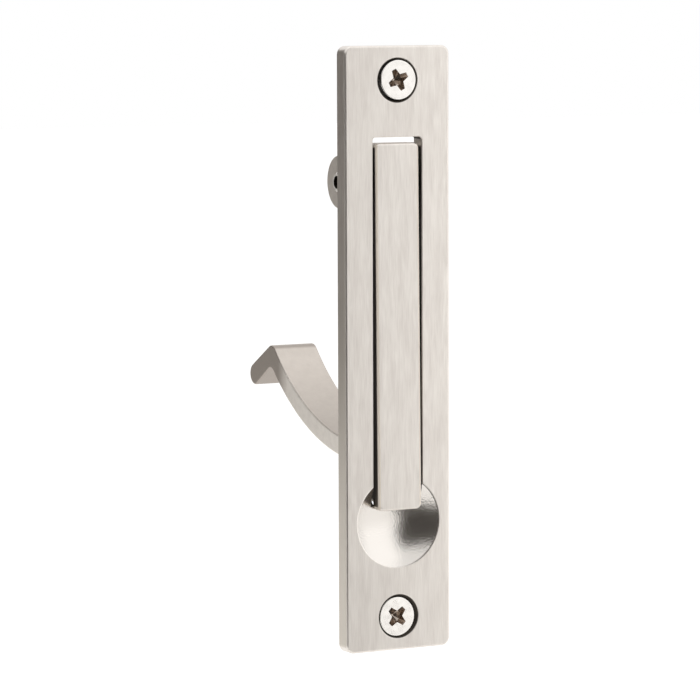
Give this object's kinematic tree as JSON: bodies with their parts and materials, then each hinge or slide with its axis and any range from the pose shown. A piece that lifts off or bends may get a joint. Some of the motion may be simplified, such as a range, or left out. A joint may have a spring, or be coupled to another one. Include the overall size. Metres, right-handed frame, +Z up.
{
  "type": "pocket door edge pull",
  "caption": "Edge pull for a pocket door: a slotted plate with a round finger dish and a hinged lever that swings out.",
  "frame": {"origin": "centre of the plate's back face, which lies on the door's edge, midway between the screws", "axes": "+X across the plate, +Y into the door along the screws, +Z up, towards the pivot's end"},
  "size_m": [0.019, 0.0481, 0.0984],
  "materials": {
    "satin_nickel": "satin, brushed along the plate",
    "spring_steel": "plain",
    "plated_steel": "bright plated"
  },
  "bodies": {
    "plate": {"face_plate": "satin_nickel", "pivot_pin": "spring_steel", "mounting_screws": "plated_steel"},
    "lever": {"pull_lever": "satin_nickel"}
  },
  "joints": [
    {"name": "pull_swing", "type": "hinge", "parent": "plate", "child": "lever", "pos_m": [0, 0.0043, 0.0271], "axis": [-1, 0, 0], "range_deg": [0, 50.4]}
  ]
}
